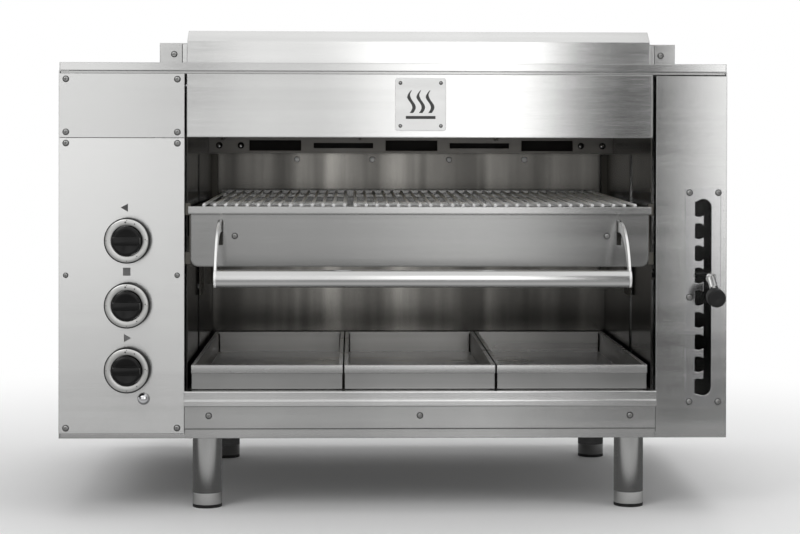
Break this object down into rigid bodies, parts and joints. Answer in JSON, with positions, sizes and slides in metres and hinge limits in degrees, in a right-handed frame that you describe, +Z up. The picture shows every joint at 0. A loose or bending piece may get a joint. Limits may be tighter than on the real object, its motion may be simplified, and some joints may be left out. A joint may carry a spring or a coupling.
{
  "type": "overhead broiler grill",
  "caption": "Counter-top stainless overhead grill with lever-lifted wire rack drawer, drip pans, side controls and open flue.",
  "frame": {"origin": "centre of the bounding box at the base of the feet", "axes": "+Z up, front faces -Y, +X to the right seen from the front"},
  "size_m": [0.9, 0.7154, 0.652],
  "materials": {
    "brushed_steel": "brushed along its length",
    "polished_steel": "polished",
    "heated_steel": "dulled by heat",
    "chrome": "plated",
    "valve_brass": "turned",
    "tube_aluminium": "drawn",
    "ceramic": "pierced ceramic",
    "black_plastic": "matt",
    "black_gloss": "glossy phenolic"
  },
  "bodies": {
    "housing": {"left_side_panel": "brushed_steel", "right_side_panel": "brushed_steel", "rear_panel": "brushed_steel", "top_cover": "brushed_steel", "base_tray": "brushed_steel", "upper_left_panel": "brushed_steel", "control_panel": "brushed_steel", "canopy_fascia": "brushed_steel", "badge_plate": "polished_steel", "right_front_panel": "brushed_steel", "index_plate": "brushed_steel", "lower_front_panel": "brushed_steel", "front_rail": "brushed_steel", "knob_bezels": "brushed_steel", "gas_valves": "valve_brass", "igniter_body": "black_plastic", "gas_manifold": "brushed_steel", "supply_tubes": "tube_aluminium", "burner_left": "heated_steel", "burner_middle": "heated_steel", "burner_right": "heated_steel", "ceramic_tiles": "ceramic", "burner_frame": "heated_steel", "igniter_electrodes": "brushed_steel", "cavity_left_wall": "polished_steel", "cavity_right_wall": "polished_steel", "cavity_back_wall": "polished_steel", "pan_shelf": "brushed_steel", "rack_guides": "brushed_steel", "shaft_bearings": "valve_brass", "flue_box": "brushed_steel", "flue_deflector": "brushed_steel", "legs": "brushed_steel", "panel_screws": "brushed_steel"},
    "rotor_top": {"valve_stem_top": "valve_brass"},
    "grip_top": {"knob_top": "black_gloss"},
    "rotor_middle": {"valve_stem_middle": "valve_brass"},
    "grip_middle": {"knob_middle": "black_gloss"},
    "rotor_bottom": {"valve_stem_bottom": "valve_brass"},
    "grip_bottom": {"knob_bottom": "black_gloss"},
    "button": {"igniter_button": "chrome"},
    "lift": {"lift_shaft": "brushed_steel", "lift_arms": "brushed_steel"},
    "lever": {"lever_rod": "brushed_steel", "lever_cap": "black_gloss"},
    "carriage": {"carriage": "brushed_steel"},
    "rack": {"rack_frame": "brushed_steel", "rack_apron": "brushed_steel", "handle_arms": "brushed_steel", "handle_tube": "brushed_steel", "grid_left": "chrome", "grid_middle": "chrome", "grid_right": "chrome"},
    "pan_left": {"drip_pan_left": "brushed_steel"},
    "pan_middle": {"drip_pan_middle": "brushed_steel"},
    "pan_right": {"drip_pan_right": "brushed_steel"},
    "levelling_front_left": {"foot_front_left": "black_plastic"},
    "levelling_rear_left": {"foot_rear_left": "black_plastic"},
    "levelling_front_right": {"foot_front_right": "black_plastic"},
    "levelling_rear_right": {"foot_rear_right": "black_plastic"}
  },
  "joints": [
    {"name": "valve_turn_top", "type": "hinge", "parent": "housing", "child": "rotor_top", "pos_m": [-0.357, -0.24925, 0.3664], "axis": [0, -1, 0], "range_deg": [0, 150]},
    {"name": "knob_push_top", "type": "slide", "parent": "rotor_top", "child": "grip_top", "axis": [0, 1, 0], "range_m": [0, 0.004], "stiffness_N_per_m": 900},
    {"name": "valve_turn_middle", "type": "hinge", "parent": "housing", "child": "rotor_middle", "pos_m": [-0.357, -0.24925, 0.2798], "axis": [0, -1, 0], "range_deg": [0, 150]},
    {"name": "knob_push_middle", "type": "slide", "parent": "rotor_middle", "child": "grip_middle", "axis": [0, 1, 0], "range_m": [0, 0.004], "stiffness_N_per_m": 900},
    {"name": "valve_turn_bottom", "type": "hinge", "parent": "housing", "child": "rotor_bottom", "pos_m": [-0.357, -0.24925, 0.1932], "axis": [0, -1, 0], "range_deg": [0, 150]},
    {"name": "knob_push_bottom", "type": "slide", "parent": "rotor_bottom", "child": "grip_bottom", "axis": [0, 1, 0], "range_m": [0, 0.004], "stiffness_N_per_m": 900},
    {"name": "igniter_push", "type": "slide", "parent": "housing", "child": "button", "axis": [0, 1, 0], "range_m": [0, 0.004], "stiffness_N_per_m": 700},
    {"name": "rack_lift", "type": "hinge", "parent": "housing", "child": "lift", "pos_m": [0.4236, 0.24575, 0.29], "axis": [-1, 0, 0], "range_deg": [-17.1, 10.1]},
    {"name": "lever_side", "type": "hinge", "parent": "lift", "child": "lever", "pos_m": [0.4236, 0.21975, 0.29], "axis": [0, 0, -1], "range_deg": [0, 1.4]},
    {"name": "carriage_slide", "type": "slide", "parent": "housing", "child": "carriage", "axis": [0, 0, 1], "range_m": [-0.0916, 0.0541]},
    {"name": "rack_pull", "type": "slide", "parent": "carriage", "child": "rack", "axis": [0, -1, 0], "range_m": [0, 0.25]},
    {"name": "pan_pull_left", "type": "slide", "parent": "housing", "child": "pan_left", "axis": [0, -1, 0], "range_m": [0, 0.35]},
    {"name": "pan_pull_middle", "type": "slide", "parent": "housing", "child": "pan_middle", "axis": [0, -1, 0], "range_m": [0, 0.35]},
    {"name": "pan_pull_right", "type": "slide", "parent": "housing", "child": "pan_right", "axis": [0, -1, 0], "range_m": [0, 0.35]},
    {"name": "foot_level_front_left", "type": "slide", "parent": "housing", "child": "levelling_front_left", "axis": [0, 0, -1], "range_m": [0, 0.02]},
    {"name": "foot_level_rear_left", "type": "slide", "parent": "housing", "child": "levelling_rear_left", "axis": [0, 0, -1], "range_m": [0, 0.02]},
    {"name": "foot_level_front_right", "type": "slide", "parent": "housing", "child": "levelling_front_right", "axis": [0, 0, -1], "range_m": [0, 0.02]},
    {"name": "foot_level_rear_right", "type": "slide", "parent": "housing", "child": "levelling_rear_right", "axis": [0, 0, -1], "range_m": [0, 0.02]}
  ],
  "couplings": [
    {"joint": "carriage_slide", "follows": "rack_lift", "m_per_rad": 0.3065}
  ]
}
